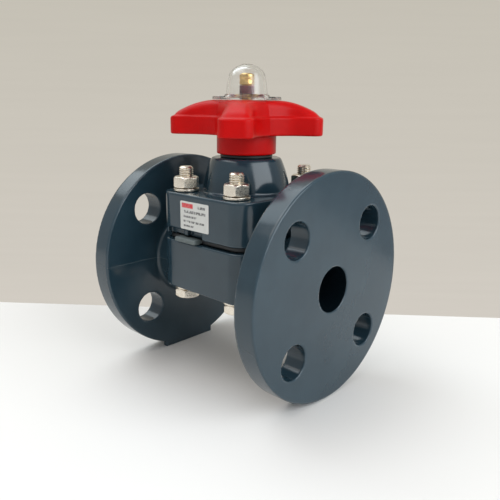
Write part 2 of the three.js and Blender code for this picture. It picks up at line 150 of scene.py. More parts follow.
def surface_net(field, low, high, pitch):
    """Quads around the zero level, with their corners moved onto it."""
    axes = [np.arange(a - 1.5 * pitch, b + 2.5 * pitch, pitch) for a, b in zip(low, high)]
    values = sample(field, axes)
    inside = values < 0.0
    nx, ny, nz = values.shape
    crossing_sum = np.zeros((nx - 1, ny - 1, nz - 1, 3), np.float32)
    crossing_count = np.zeros((nx - 1, ny - 1, nz - 1), np.float32)
    quads = []
    starts = []
    for axis in range(3):
        first = [slice(None)] * 3
        second = [slice(None)] * 3
        first[axis] = slice(0, -1)
        second[axis] = slice(1, None)
        a, b = values[tuple(first)], values[tuple(second)]
        at = np.argwhere(inside[tuple(first)] != inside[tuple(second)])
        va, vb = a[tuple(at.T)], b[tuple(at.T)]
        place = at.astype(np.float32)
        place[:, axis] += va / (va - vb)
        others = [i for i in range(3) if i != axis]
        ring = []
        for da, db in ((0, 0), (-1, 0), (-1, -1), (0, -1)):
            cell = at.copy()
            cell[:, others[0]] += da
            cell[:, others[1]] += db
            fits = (cell >= 0).all(1) & (cell < np.array(crossing_count.shape)).all(1)
            kept = tuple(np.where(fits[:, None], cell, 0).T)
            np.add.at(crossing_count, kept, fits.astype(np.float32))
            for k in range(3):
                np.add.at(crossing_sum[..., k], kept, place[:, k] * fits)
            ring.append(cell)
        outward = (va < 0.0) ^ (axis == 1)
        quads.append(np.stack(ring, 1))
        starts.append(outward)
    used = crossing_count > 0
    number = np.full(used.shape, -1, np.int64)
    number[used] = np.arange(used.sum())
    grid_points = crossing_sum[used] / crossing_count[used][:, None]
    origin = np.array([a[0] for a in axes])
    points = origin + grid_points.astype(np.float64) * pitch
    anchor = points.copy()
    for _ in range(4):
        slope = gradient(field, points)
        size = np.maximum((slope ** 2).sum(1), 0.05)
        points = points - slope * (field(*points.T) / size)[:, None]
        move = np.clip(points - anchor, -0.8 * pitch, 0.8 * pitch)
        points = anchor + move
    cells = np.concatenate(quads)
    outward = np.concatenate(starts)
    faces = number[cells[..., 0], cells[..., 1], cells[..., 2]]
    faces[~outward] = faces[~outward][:, ::-1]
    return points, faces


def mesh_object(name, points, faces, normals=None, lift=True):
    """A mesh object from points in mm; lift moves z = 0 to the pipe axis."""
    mesh = bpy.data.meshes.new(name)
    placed = np.array(points, float)
    if lift:
        placed = placed + np.array([0.0, 0.0, PIPE_Z])
    mesh.from_pydata((placed * MM).tolist(), [], [tuple(int(i) for i in f) for f in faces])
    mesh.validate()
    mesh.update()
    mesh.shade_smooth()
    if normals is not None:
        mesh.normals_split_custom_set_from_vertices(normals.tolist())
    obj = bpy.data.objects.new(name, mesh)
    bpy.context.collection.objects.link(obj)
    return obj


def moulded(name, field, low, high, pitch):
    points, faces = surface_net(field, low, high, pitch)
    slope = gradient(field, points)
    normals = slope / np.maximum(np.linalg.norm(slope, axis=1), 1e-6)[:, None]
    obj = mesh_object(name, points, faces, normals)
    return obj


# ---- Swept pieces ----

TURN = 2.0 * math.pi


def swept(name, rows, sides, place=(0.0, 0.0), closed=False, sharp=35.0):
    """Rows of (radius, height) round a vertical axis; each may be a number or one value per side."""
    angles = np.arange(sides) * TURN / sides
    points = []
    spans = []
    for radius, height in rows:
        radius = np.broadcast_to(np.asarray(radius, float), (sides,))
        height = np.broadcast_to(np.asarray(height, float), (sides,))
        start = len(points)
        if radius.max() < 1e-6:
            points.append((place[0], place[1], float(height[0])))
            spans.append((start, 1))
            continue
        for a, r, z in zip(angles, radius, height):
            points.append((place[0] + r * math.cos(a), place[1] + r * math.sin(a), z))
        spans.append((start, sides))
    faces = []
    pairs = list(zip(spans, spans[1:]))
    if closed:
        pairs.append((spans[-1], spans[0]))
    for (low, low_n), (high, high_n) in pairs:
        for i in range(sides):
            j = (i + 1) % sides
            if low_n == 1:
                faces.append((low, high + j, high + i))
            elif high_n == 1:
                faces.append((low + i, low + j, high))
            else:
                faces.append((low + i, low + j, high + j, high + i))
    obj = mesh_object(name, points, faces)
    obj.data.set_sharp_from_angle(angle=math.radians(sharp))
    return obj


def rounded_profile(points, radius, steps=4):
    """A closed outline with each corner replaced by a small arc."""
    result = []
    count = len(points)
    for i, corner in enumerate(points):
        before = np.array(points[i - 1], float)
        after = np.array(points[(i + 1) % count], float)
        here = np.array(corner, float)
        to_before = before - here
        to_after = after - here
        reach = min(radius, 0.45 * np.linalg.norm(to_before), 0.45 * np.linalg.norm(to_after))
        p = here + to_before / np.linalg.norm(to_before) * reach
        q = here + to_after / np.linalg.norm(to_after) * reach
        for k in range(steps + 1):
            t = k / steps
            result.append((1 - t) ** 2 * p + 2 * t * (1 - t) * here + t * t * q)
    return [tuple(point) for point in result]


def curve_through(points, per_span=8):
    """Catmull-Rom points through an open list."""
    pts = np.array([points[0], *points, points[-1]], float)
    result = []
    for a, b, c, d in zip(pts, pts[1:], pts[2:], pts[3:]):
        for k in range(per_span):
            t = k / per_span
            result.append(0.5 * (2 * b + (c - a) * t + (2 * a - 5 * b + 4 * c - d) * t * t
                                 + (3 * b - a - 3 * c + d) * t ** 3))
    return [tuple(p) for p in result] + [tuple(points[-1])]


# ---- Dimensions shared by several pieces, in mm from the pipe axis ----

def centre(node):
    low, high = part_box(node)
    return (low[0] + high[0]) / 2.0 / MM, (low[1] + high[1]) / 2.0 / MM


BOLTS = [centre(f"bolt_nut_{i}") for i in range(1, 5)]
BOLT_X = abs(BOLTS[0][0])
BOLT_Y = abs(BOLTS[0][1])
BONNET_LOW, DOME_TOP = levels("bonnet")
BLOCK_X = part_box("bonnet")[1][0] / MM
BLOCK_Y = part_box("bonnet")[1][1] / MM
CORNER = 11.0
BLOCK_LOW = -9.5
BLOCK_TOP = 19.0
PLATE_TOP = 46.3
FLANGE_BACK = HALF_LENGTH - 12.7
FLANGE_HOLE = 45.0 * math.sqrt(0.5)
BORE_R = 12.5
BOLT_HOLE_R = 4.5


def bolt_distance(x, y):
    return np.hypot(np.abs(x) - BOLT_X, np.abs(y) - BOLT_Y)


# ---- Valve body ----

def flow_passage(x, y, z, radial):
    bowl_r = np.interp(z, [-9.0, -8.2, -4.0, 4.0, 12.0, 20.0], [0.5, 10.0, 17.0, 20.5, 21.5, 21.5])
    bowl = np.maximum(np.hypot(x, y) - bowl_r, -9.0 - z)
    crest = 9.5
    saddle_r = (21.5 ** 2 + crest ** 2) / (2.0 * crest)
    half_weir = np.interp(z, [-14.0, -4.0, crest], [8.0, 3.6, 2.2])
    weir = smooth_max(np.abs(x) - half_weir, saddle_r - np.hypot(y, z - crest - saddle_r), 2.0)
    return smooth_max(smooth_min(radial - BORE_R, bowl, 1.5), -weir, 1.5)


def body_field(x, y, z):
    ax = np.abs(x)
    radial = np.hypot(y, z)
    flange = disc(radial, ax, FLANGE_R, FLANGE_BACK, HALF_LENGTH, 1.1)
    foot = box_field(ax, y, z, (FLANGE_BACK, -20.0, -PIPE_Z), (FLANGE_BACK + 3.7, 20.0, -50.0), 0.5)
    ramp = np.clip((ax - 28.6) / 7.4, 0.0, 1.0)
    neck_r = 19.5 + 5.5 * ramp * ramp * (3.0 - 2.0 * ramp)
    neck = np.maximum(radial - neck_r, ax - 60.0)
    neck = smooth_max(neck, np.minimum(z - BLOCK_TOP, 37.0 - ax), 1.0)
    block = raised(rounded_plan(x, y, BLOCK_X, BLOCK_Y, CORNER), z, BLOCK_LOW, BLOCK_TOP, 1.0)
    outside = smooth_min(smooth_min(neck, block, 2.5), np.minimum(flange, foot), 3.0)
    solid = drilled(outside, flow_passage(x, y, z, radial), 0.8)
    flange_holes = np.hypot(np.abs(y) - FLANGE_HOLE, np.abs(z) - FLANGE_HOLE) - 9.5
    solid = drilled(solid, flange_holes, 0.8)
    return drilled(solid, bolt_distance(x, y) - BOLT_HOLE_R, 0.5)


# ---- Bonnet ----

def bonnet_field(x, y, z):
    r = np.hypot(x, y)
    plate = raised(rounded_plan(x, y, BLOCK_X, BLOCK_Y, CORNER), z, BONNET_LOW, PLATE_TOP, 1.2)
    rise = np.clip((z - PLATE_TOP) / (DOME_TOP - PLATE_TOP), 0.0, 1.1)
    dome = smooth_max(r - 25.6 + 2.6 * rise + 3.2 * rise * rise, z - DOME_TOP, 1.6)
    dome = np.maximum(dome, PLATE_TOP - 2.0 - z)
    pocket = np.maximum(bolt_distance(x, y) - 12.0, PLATE_TOP - z)
    dome = smooth_max(dome, -pocket, 1.8)
    solid = smooth_min(plate, dome, 1.6)
    notch = box_field(x, y, z, (-26.0, -BLOCK_Y - 4.0, BONNET_LOW - 3.0), (3.0, 3.5 - BLOCK_Y, 26.0), 1.0)
    rib = box_field(x, y, z, (-12.5, 0.8 - BLOCK_Y, BONNET_LOW + 0.6), (-9.5, 5.0 - BLOCK_Y, 27.0), 0.5)
    solid = np.minimum(drilled(solid, notch, 0.7), rib)
    inner = np.minimum(r - 9.3, np.maximum(r - 14.0, z - 55.0))
    inner = np.minimum(inner, np.maximum(r - 20.4, z - 44.0))
    solid = drilled(solid, inner, 0.6)
    return drilled(solid, bolt_distance(x, y) - BOLT_HOLE_R, 0.5)


# ---- Diaphragm ----

SHEET_LOW, SHEET_TOP = 19.3, 21.9


def diaphragm_field(x, y, z):
    r = np.hypot(x, y)
    plan = rounded_plan(x, y, BLOCK_X - 3.0, BLOCK_Y - 3.0, CORNER - 3.0)
    tab = np.maximum(slab(x, -17.0, 0.0), slab(y, -40.5, -30.0))
    plan = np.minimum(plan, tab)
    under = np.interp(r, [9.0, 14.0, 19.0], [24.5, 22.3, SHEET_LOW])
    over = np.interp(r, [9.0, 14.5, 18.5], [27.3, 25.3, SHEET_TOP])
    sheet = smooth_max(plan, 0.85 * slab(z, under, over), 0.6)
    sheet = np.maximum(sheet, -np.maximum(r - 5.3, 25.4 - z))
    return drilled(sheet, bolt_distance(x, y) - BOLT_HOLE_R, 0.4)


# ---- Handwheel ----

WHEEL_LOW = levels("handwheel")[0]
RIM_LOW = 78.0
BAND_TOP = 88.2
HUB_TOP = 97.0
ARM_REACH = 43.2
ARM_HALF = 9.3
ARM_TURN = math.radians(35.3)
ARM_CORNER = 5.0
HUB_WAIST = 20.6
WHEEL_WALL = 2.8
SKIRT_R = 17.0
HUB_RECESS_R, HUB_RECESS_LOW = 13.0, 90.0
DRIVE_HALF_FLATS, DRIVE_TOP = 8.0, 91.0
WHEEL_BORE_R, WHEEL_BORE_TOP = 9.3, 70.3


def handwheel_field(x, y, z):
    along = x * math.cos(ARM_TURN) + y * math.sin(ARM_TURN)
    across = y * math.cos(ARM_TURN) - x * math.sin(ARM_TURN)
    u = np.maximum(np.abs(along), np.abs(across))
    v = np.minimum(np.abs(along), np.abs(across))
    r = np.hypot(x, y)
    arm = rounded_plan(u, v, ARM_REACH, ARM_HALF, ARM_CORNER)
    plan = smooth_min(arm, r - HUB_WAIST, 12.0)
    crown = 0.92 * (z - HUB_TOP + 0.0122 * np.maximum(r - 16.0, 0.0) ** 2)
    above = np.maximum(z - BAND_TOP, 0.0)
    band = smooth_max(smooth_max(plan, z - BAND_TOP, 1.2), crown, 1.6)
    top = smooth_max(plan + 1.2 + 0.14 * above, crown, 4.0)
    wheel = smooth_max(smooth_min(band, top, 0.8), RIM_LOW - z, 1.0)
    hollow = smooth_max(np.maximum(plan + WHEEL_WALL, 19.6 - r), z - 83.6, 1.5)
    wheel = smooth_max(wheel, -hollow, 0.6)
    skirt = disc(r, z, SKIRT_R, WHEEL_LOW, RIM_LOW + 3.0, 0.8)
    wheel = smooth_min(wheel, skirt, 1.0)
    wheel = smooth_max(wheel, -np.maximum(np.abs(r - 13.0) - 1.4, z - 84.0), 0.6)
    bore = np.maximum(r - WHEEL_BORE_R, z - WHEEL_BORE_TOP)
    flats = [np.abs(x * math.cos(a) + y * math.sin(a)) for a in np.radians([30.0, 90.0, 150.0])]
    drive = np.maximum(np.maximum(np.maximum(flats[0], flats[1]), flats[2]) - DRIVE_HALF_FLATS, z - DRIVE_TOP)
    recess = np.maximum(r - HUB_RECESS_R, HUB_RECESS_LOW - z)
    return smooth_max(wheel, -np.minimum(np.minimum(bore, drive), recess), 0.5)


# ---- Hexagons and threads ----

def hex_radius(angles, across_flats):
    return across_flats / 2.0 / np.cos(angles % (TURN / 6.0) - TURN / 12.0)


def hex_rows(sides, across_flats, low, high, low_cut=True, high_cut=True):
    """Rows of a hexagon from low to high, with its corners turned off at the ends."""
    angles = np.arange(sides) * TURN / sides
    flats = hex_radius(angles, across_flats)
    face = across_flats * 0.475
    depths = (0.0, 0.1, 0.22, 0.36, 0.52, 0.72, 1.0)
    rows = []
    for depth in depths:
        limit = face + depth * 1.73 if low_cut else 99.0
        rows.append((np.minimum(flats, limit), low + depth))
    for depth in reversed(depths):
        limit = face + depth * 1.73 if high_cut else 99.0
        rows.append((np.minimum(flats, limit), high - depth))
    return rows


def turned_rows(rows, angle, sides):
    steps = round(angle / 360.0 * sides)
    return [(np.roll(r, steps) if np.ndim(r) else r, z) for r, z in rows]


THREAD_PITCH = 1.25
THREAD_DEPTH = 0.62


def thread_rows(sides, radius, low, high, chamfer):
    angles = np.arange(sides) / sides
    heights = np.arange(low, high, THREAD_PITCH / 8.0)
    rows = []
    for height in [*heights, high]:
        phase = (height / THREAD_PITCH - angles) % 1.0
        groove = np.clip(1.15 - 2.3 * np.abs(phase - 0.5) * 2.0, 0.0, 1.0)
        fade = min(1.0, (height - low) / THREAD_PITCH)
        limit = radius - chamfer + (high - height)
        rows.append((np.minimum(radius - THREAD_DEPTH * groove * fade, limit), height))
    return rows


BOLT_SIDES = 72
BOLT_FLATS = 13.0
BOLT_TURNS = (8.0, 20.0, 12.0, 50.0)


def make_bolt(index, place):
    head_low, stud_top = levels(f"body_bolt_{index}")
    head_top = head_low + 5.3
    rows = [(0.0, head_low)]
    rows += turned_rows(hex_rows(BOLT_SIDES, BOLT_FLATS, head_low, head_top), 5.0 * index, BOLT_SIDES)
    rows += [(4.3, head_top), (4.0, head_top + 0.4), (4.0, 40.0)]
    rows += thread_rows(BOLT_SIDES, 4.0, 40.2, stud_top, 0.9)
    rows.append((0.0, stud_top))
    obj = swept(f"bolt_{index}", rows, BOLT_SIDES, place)
    return obj


def make_nut(name, node, place, flats, bore, angle):
    low, high = levels(node)
    rows = turned_rows(hex_rows(BOLT_SIDES, flats, low, high), angle, BOLT_SIDES)
    rows += [(bore + 0.5, high), (bore, high - 0.5), (bore, low + 0.5), (bore + 0.5, low)]
    return swept(name, rows, BOLT_SIDES, place, closed=True)


def make_ring(name, node, place, inner, outer, edge, sides=72):
    low, high = levels(node)
    profile = [(inner, low), (outer, low), (outer, high), (inner, high)]
    return swept(name, rounded_profile(profile, edge), sides, place, closed=True, sharp=60.0)


# ---- Clear cover, stem and label ----

COVER_LOW, COVER_TOP = levels("gauge_cover")


def make_cover():
    disc_low = COVER_LOW + 3.6
    disc_top = disc_low + 1.5
    outside = [(0.0, COVER_TOP), (3.6, COVER_TOP - 0.45), (7.2, COVER_TOP - 2.2), (9.6, COVER_TOP - 5.0)]
    outside += [(10.8, COVER_TOP - 9.0), (11.5, COVER_TOP - 14.5), (11.7, disc_top + 1.3)]
    wall = 1.3
    inside = [(11.0 - wall + 0.5, disc_low + 2.0), (10.8 - wall, COVER_TOP - 9.0)]
    inside += [(9.7 - wall, COVER_TOP - 5.6), (6.2, COVER_TOP - 3.3), (3.0, COVER_TOP - 1.9)]
    inside += [(0.0, COVER_TOP - 1.5)]
    plate = [(12.6, disc_top + 0.9), (13.0, disc_top), (19.1, disc_top), (19.5, disc_top - 0.5)]
    plate += [(19.5, disc_low + 0.3), (19.3, disc_low), (12.6, disc_low)]
    plate += [(12.6, COVER_LOW), (10.7, COVER_LOW)]
    rows = curve_through(outside) + plate + curve_through(inside)
    rows[0] = (0.0, COVER_TOP)
    rows[-1] = (0.0, COVER_TOP - 1.5)
    return swept("clear_cover", rows[::-1], 96, sharp=50.0)


def make_stem():
    low, high = levels("stem")
    rows = [(0.0, low), (4.7, low), (5.0, low + 0.4), (5.0, 83.6), (4.6, 84.0), (3.0, 84.0), (3.0, 105.0)]
    rows += [(3.9, 105.0), (4.2, 105.3), (4.2, 107.2), (4.0, 107.5), (4.0, 107.9), (4.2, 108.2)]
    rows += [(4.2, high - 0.8), (4.05, high - 0.4), (3.7, high - 0.1), (3.3, high), (0.0, high)]
    return swept("indicator_stem", rows, 64)


def make_label():
    (x0, y0, z0), (x1, y1, z1) = (tuple(c / MM for c in corner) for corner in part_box("name_label"))
    outline = rounded_profile([(x0, z0), (x1, z0), (x1, z1), (x0, z1)], 0.9, 5)
    count = len(outline)
    points = [(x, y, z) for y in (y1, y0 + 0.08) for x, z in outline]
    inset = [(x + (0.08 if x < -2.5 else -0.08), z + (0.08 if z < 98.0 else -0.08)) for x, z in outline]
    points += [(x, y0, z) for x, z in inset]
    faces = [tuple(range(count))[::-1], tuple(2 * count + i for i in range(count))]
    for ring in (0, count):
        for i in range(count):
            j = (i + 1) % count
            faces.append((ring + i, ring + j, ring + count + j, ring + count + i))
    obj = mesh_object("printed_label", points, faces, lift=False)
    obj.data.set_sharp_from_angle(angle=math.radians(30.0))
    return obj


# ---- Materials ----

class Shader:
    """A material with small helpers for its nodes."""

    def __init__(self, name, base, roughness, metallic=0.0):
        self.material = bpy.data.materials.new(name)
        self.material.use_nodes = True
        self.tree = self.material.node_tree
        self.bsdf = self.tree.nodes["Principled BSDF"]
        self.bsdf.inputs["Base Color"].default_value = (*base, 1.0)
        self.bsdf.inputs["Roughness"].default_value = roughness
        self.bsdf.inputs["Metallic"].default_value = metallic
        self.coords = self.node("ShaderNodeTexCoord").outputs["Object"]

    def node(self, kind, **settings):
        made = self.tree.nodes.new(kind)
        for key, value in settings.items():
            setattr(made, key, value)
        return made

    def feed(self, socket, value):
        if isinstance(value, bpy.types.NodeSocket):
            self.tree.links.new(value, socket)
        else:
            socket.default_value = value

    def math(self, operation, *values, clamp=False):
        made = self.node("ShaderNodeMath", operation=operation, use_clamp=clamp)
        for socket, value in zip(made.inputs, values):
            self.feed(socket, value)
        return made.outputs[0]

    def axis(self, index):
        split = self.node("ShaderNodeSeparateXYZ")
        self.feed(split.inputs[0], self.coords)
        return split.outputs[index]

    def stretched(self, scale):
        mapping = self.node("ShaderNodeMapping")
        self.feed(mapping.inputs["Vector"], self.coords)
        mapping.inputs["Scale"].default_value = scale
        return mapping.outputs[0]

    def noise(self, scale, detail=3.0, roughness=0.5, vector=None):
        made = self.node("ShaderNodeTexNoise")
        self.feed(made.inputs["Vector"], vector or self.coords)
        made.inputs["Scale"].default_value = scale
        made.inputs["Detail"].default_value = detail
        made.inputs["Roughness"].default_value = roughness
        return made.outputs["Fac"]

    def spread(self, value, low, high, to_low, to_high):
        made = self.node("ShaderNodeMapRange")
        for socket, number in zip(made.inputs, (value, low, high, to_low, to_high)):
            self.feed(socket, number)
        return made.outputs[0]

    def mix(self, factor, a, b):
        made = self.node("ShaderNodeMix", data_type="RGBA")
        self.feed(made.inputs[0], factor)
        self.feed(made.inputs[6], a if isinstance(a, bpy.types.NodeSocket) else (*a, 1.0))
        self.feed(made.inputs[7], b if isinstance(b, bpy.types.NodeSocket) else (*b, 1.0))
        return made.outputs[2]

    def bump(self, height, distance, strength=1.0):
        made = self.node("ShaderNodeBump")
        made.inputs["Strength"].default_value = strength
        made.inputs["Distance"].default_value = distance
        self.feed(made.inputs["Height"], height)
        self.feed(self.bsdf.inputs["Normal"], made.outputs[0])

    def edges(self, low, high):
        geometry = self.node("ShaderNodeNewGeometry")
        return self.spread(geometry.outputs["Pointiness"], low, high, 0.0, 1.0)


def band_mask(shader, axis, middle, half):
    return shader.math("COMPARE", shader.axis(axis), middle, half)


def make_grey(name, parting_line_and_bore_shade):
    s = Shader(name, (0.019, 0.044, 0.062), 0.2)
    cloud = s.noise(38.0, 4.0, 0.55)
    speck = s.noise(1600.0, 2.0, 0.6)
    colour = s.mix(s.spread(cloud, 0.35, 0.65, 0.0, 1.0), (0.014, 0.033, 0.047), (0.019, 0.042, 0.058))
    colour = s.mix(s.spread(s.edges(0.52, 0.60), 0.0, 1.0, 0.0, 0.4), colour, (0.06, 0.10, 0.13))
    scuffs = s.noise(60.0, 5.0, 0.7, s.stretched((1.0, 1.0, 14.0)))
    scuff = s.spread(scuffs, 0.68, 0.8, 0.0, 0.25)
    colour = s.mix(scuff, colour, (0.04, 0.06, 0.07))
    rough = s.math("ADD", s.spread(cloud, 0.3, 0.7, 0.13, 0.21), s.math("MULTIPLY", scuff, 0.3))
    height = s.math("ADD", s.math("MULTIPLY", s.noise(120.0, 3.0), 1.0), s.math("MULTIPLY", speck, 0.05))
    # With this flag the body gets its moulded parting line and a painted shade inside the bore.
    if parting_line_and_bore_shade:
        between = band_mask(s, 0, 0.0, (FLANGE_BACK + 0.6) * MM)
        clear_of_block = s.math("SUBTRACT", 1.0, band_mask(s, 0, 0.0, (BLOCK_X + 0.2) * MM))
        at_middle = band_mask(s, 2, PIPE_Z * MM, 0.00022)
        line = s.math("MULTIPLY", at_middle, s.math("MULTIPLY", between, clear_of_block))
        height = s.math("ADD", height, s.math("MULTIPLY", line, 1.2))
        colour = s.mix(s.math("MULTIPLY", line, 0.25), colour, (0.10, 0.13, 0.14))
        # Painted shade: inside the bore the colour is taken down nearly to black, standing in for the shade
        # down the pipe.
        rise = s.math("SUBTRACT", s.axis(2), PIPE_Z * MM)
        radius = s.math("SQRT", s.math("ADD", s.math("POWER", s.axis(1), 2.0), s.math("POWER", rise, 2.0)))
        painted_bore_shade = s.math("MULTIPLY", s.spread(radius, BORE_R * MM, (BORE_R + 0.5) * MM, 1.0, 0.0),
                         s.math("LESS_THAN", s.math("ABSOLUTE", s.axis(0)), (HALF_LENGTH - 0.6) * MM))
        colour = s.mix(s.math("MULTIPLY", painted_bore_shade, 0.85), colour, (0.001, 0.002, 0.003))
    s.feed(s.bsdf.inputs["Base Color"], colour)
    s.feed(s.bsdf.inputs["Roughness"], rough)
    s.bsdf.inputs["IOR"].default_value = 1.53
    s.bump(height, 0.00012, 0.55)
    return s.material


def make_red():
    s = Shader("red_moulded", (0.58, 0.001, 0.001), 0.36)
    s.bsdf.inputs["Specular IOR Level"].default_value = 0.16
    cloud = s.noise(45.0, 4.0, 0.55)
    colour = s.mix(s.spread(cloud, 0.35, 0.65, 0.0, 1.0), (0.43, 0.0, 0.0), (0.52, 0.0, 0.0))
    colour = s.mix(s.spread(s.edges(0.53, 0.62), 0.0, 1.0, 0.0, 0.35), colour, (0.8, 0.05, 0.03))
    s.feed(s.bsdf.inputs["Base Color"], colour)
    s.feed(s.bsdf.inputs["Roughness"], s.spread(cloud, 0.3, 0.7, 0.3, 0.4))
    peel = s.math("ADD", s.noise(240.0, 2.0), s.math("MULTIPLY", s.noise(2200.0, 2.0), 0.25))
    s.bump(peel, 0.0001, 0.5)
    return s.material


def make_metal(name, light, dark, rough_low, rough_high, brushed):
    s = Shader(name, light, rough_low, 1.0)
    cloud = s.noise(260.0, 4.0, 0.6)
    s.feed(s.bsdf.inputs["Base Color"], s.mix(s.spread(cloud, 0.35, 0.7, 0.0, 1.0), light, dark))
    grain = s.noise(500.0, 4.0, 0.7, s.stretched(brushed))
    s.feed(s.bsdf.inputs["Roughness"], s.spread(grain, 0.3, 0.75, rough_low, rough_high))
    s.bump(grain, 0.00004, 0.5)
    return s.material


def make_plain(name, base, other, rough_low, rough_high, bump_scale, bump_size):
    s = Shader(name, base, rough_low)
    cloud = s.noise(150.0, 4.0, 0.6)
    s.feed(s.bsdf.inputs["Base Color"], s.mix(s.spread(cloud, 0.35, 0.65, 0.0, 1.0), base, other))
    s.feed(s.bsdf.inputs["Roughness"], s.spread(cloud, 0.3, 0.7, rough_low, rough_high))
    s.bump(s.noise(bump_scale, 3.0), bump_size, 0.6)
    return s.material


def make_rubber():
    s = Shader("rubber", (0.012, 0.013, 0.014), 0.5)
    cloud = s.noise(150.0, 4.0, 0.6)
    colour = s.mix(s.spread(cloud, 0.35, 0.65, 0.0, 1.0), (0.010, 0.011, 0.012), (0.018, 0.019, 0.020))
    # Painted light: the tab is coloured a lighter grey, standing in for the light falling on its top.
    tab = s.math("LESS_THAN", s.axis(1), -(BLOCK_Y - 2.8) * MM)
    painted_tab_light = s.math("MULTIPLY", tab, s.spread(cloud, 0.3, 0.7, 0.75, 1.0))
    colour = s.mix(painted_tab_light, colour, (0.13, 0.155, 0.155))
    s.feed(s.bsdf.inputs["Base Color"], colour)
    s.feed(s.bsdf.inputs["Roughness"], s.spread(cloud, 0.3, 0.7, 0.36, 0.55))
    s.bump(s.noise(900.0, 3.0), 0.00008, 0.6)
    return s.material


def make_clear():
    s = Shader("clear_moulded", (0.97, 0.97, 0.96), 0.04)
    s.bsdf.inputs["Transmission Weight"].default_value = 0.985
    s.bsdf.inputs["IOR"].default_value = 1.4
    haze = s.noise(220.0, 4.0, 0.6)
    s.feed(s.bsdf.inputs["Roughness"], s.spread(haze, 0.35, 0.75, 0.02, 0.08))
    s.bump(s.noise(90.0, 2.0), 0.00008, 0.4)
    return s.material


# Print on the label: (left, right, bottom, top) in mm, z from the pipe axis.
LABEL_PATCH = (-12.6, -3.4, 39.0, 41.6)
LABEL_ROWS = ((0.0, 6.4, 39.4, 40.9), (-10.8, 6.6, 36.2, 37.7), (-11.4, -0.6, 33.6, 34.8),
              (-11.4, 5.6, 30.9, 32.1), (-11.4, -3.0, 28.5, 29.5))


def make_print():
    s = Shader("label_print", (0.62, 0.62, 0.59), 0.42)
    x, z = s.axis(0), s.axis(2)

    def patch(left, right, bottom, top):
        wide = s.math("COMPARE", x, (left + right) / 2.0 * MM, (right - left) / 2.0 * MM)
        tall = s.math("COMPARE", z, ((bottom + top) / 2.0 + PIPE_Z) * MM, (top - bottom) / 2.0 * MM)
        return s.math("MULTIPLY", wide, tall)

    ink = None
    for row in LABEL_ROWS:
        mark = patch(*row)
        ink = mark if ink is None else s.math("MAXIMUM", ink, mark)
    dashes = s.noise(1.0, 1.0, 0.5, s.stretched((1350.0, 0.0, 420.0)))
    ink = s.math("MULTIPLY", ink, s.spread(dashes, 0.40, 0.52, 0.0, 0.85))
    paper = s.mix(s.noise(300.0, 3.0), (0.60, 0.60, 0.57), (0.66, 0.66, 0.63))
    colour = s.mix(ink, paper, (0.03, 0.03, 0.035))
    red = s.math("MULTIPLY", patch(*LABEL_PATCH), s.spread(s.noise(700.0, 2.0), 0.3, 0.6, 0.75, 1.0))
    colour = s.mix(red, colour, (0.62, 0.035, 0.045))
    s.feed(s.bsdf.inputs["Base Color"], colour)
    s.feed(s.bsdf.inputs["Roughness"], s.spread(s.noise(500.0, 2.0), 0.3, 0.7, 0.36, 0.5))
    s.bump(s.noise(900.0, 2.0), 0.00003, 0.4)
    return s.material


MATERIALS = {
    "body_grey": make_grey("body_grey", True),
    "grey": make_grey("bonnet_grey", False),
    "red": make_red(),
    "clear": make_clear(),
    "rubber": make_rubber(),
    "white": make_plain("white_plastic", (0.75, 0.73, 0.68), (0.82, 0.80, 0.74), 0.4, 0.5, 500.0, 0.00004),
    "carrier": make_plain("carrier_plastic", (0.15, 0.17, 0.18), (0.19, 0.21, 0.22), 0.4, 0.55,
                          500.0, 0.00006),
    "band": make_plain("band_plastic", (0.10, 0.006, 0.012), (0.14, 0.01, 0.016), 0.3, 0.45, 700.0, 0.00004),
    "steel": make_metal("stainless", (0.80, 0.74, 0.64), (0.72, 0.65, 0.55), 0.22, 0.36, (1.0, 1.0, 5.0)),
    "brass": make_metal("brass", (0.78, 0.52, 0.2), (0.66, 0.42, 0.15), 0.22, 0.4, (1.0, 1.0, 6.0)),
    "print": make_print(),
}


# ---- Assembly ----

def fit(obj, nodes, body, material):
    """Give a piece its material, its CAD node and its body."""
    obj.data.materials.clear()
    obj.data.materials.append(MATERIALS[material])
    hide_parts(*nodes)
    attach(obj, body)


COARSE = 1.0
WASHER_INNER, WASHER_OUTER, WASHER_EDGE = 4.3, 7.4, 0.35
SEAL_INNER, SEAL_OUTER, SEAL_EDGE = 9.3, 15.0, 0.4
BAND_INNER, BAND_OUTER, BAND_EDGE = 3.3, 4.2, 0.25

block = moulded("body_moulding", body_field, (-HALF_LENGTH, -FLANGE_R, -PIPE_Z),
                (HALF_LENGTH, FLANGE_R, FLANGE_R), 1.0 * COARSE)
fit(block, ["valve_body"], "housing", "body_grey")

bonnet = moulded("bonnet_moulding", bonnet_field, (-BLOCK_X, -BLOCK_Y, BONNET_LOW),
                 (BLOCK_X, BLOCK_Y, DOME_TOP), 0.7 * COARSE)
fit(bonnet, ["bonnet"], "housing", "grey")

wheel = moulded("handwheel_moulding", handwheel_field, (-ARM_REACH, -ARM_REACH, WHEEL_LOW),
                (ARM_REACH, ARM_REACH, HUB_TOP), 0.65 * COARSE)
fit(wheel, ["handwheel"], "handwheel_set", "red")

sheet = moulded("diaphragm_sheet", diaphragm_field, (-BLOCK_X, -40.5, SHEET_LOW),
                (BLOCK_X, BLOCK_Y, 27.3), 0.8 * COARSE)
sheet.data.materials.append(MATERIALS["rubber"])
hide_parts("diaphragm")
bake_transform(sheet)

for i, spot in enumerate(BOLTS, 1):
    fit(make_bolt(i, spot), [f"body_bolt_{i}"], "housing", "steel")
    nut = make_nut(f"nut_{i}", f"bolt_nut_{i}", spot, BOLT_FLATS, 4.15, BOLT_TURNS[i - 1])
    fit(nut, [f"bolt_nut_{i}"], "housing", "steel")
    for side in ("upper", "lower"):
        node = f"{side}_washer_{i}"
        ring = make_ring(f"{side}_ring_{i}", node, spot, WASHER_INNER, WASHER_OUTER, WASHER_EDGE)
        fit(ring, [node], "housing", "steel")

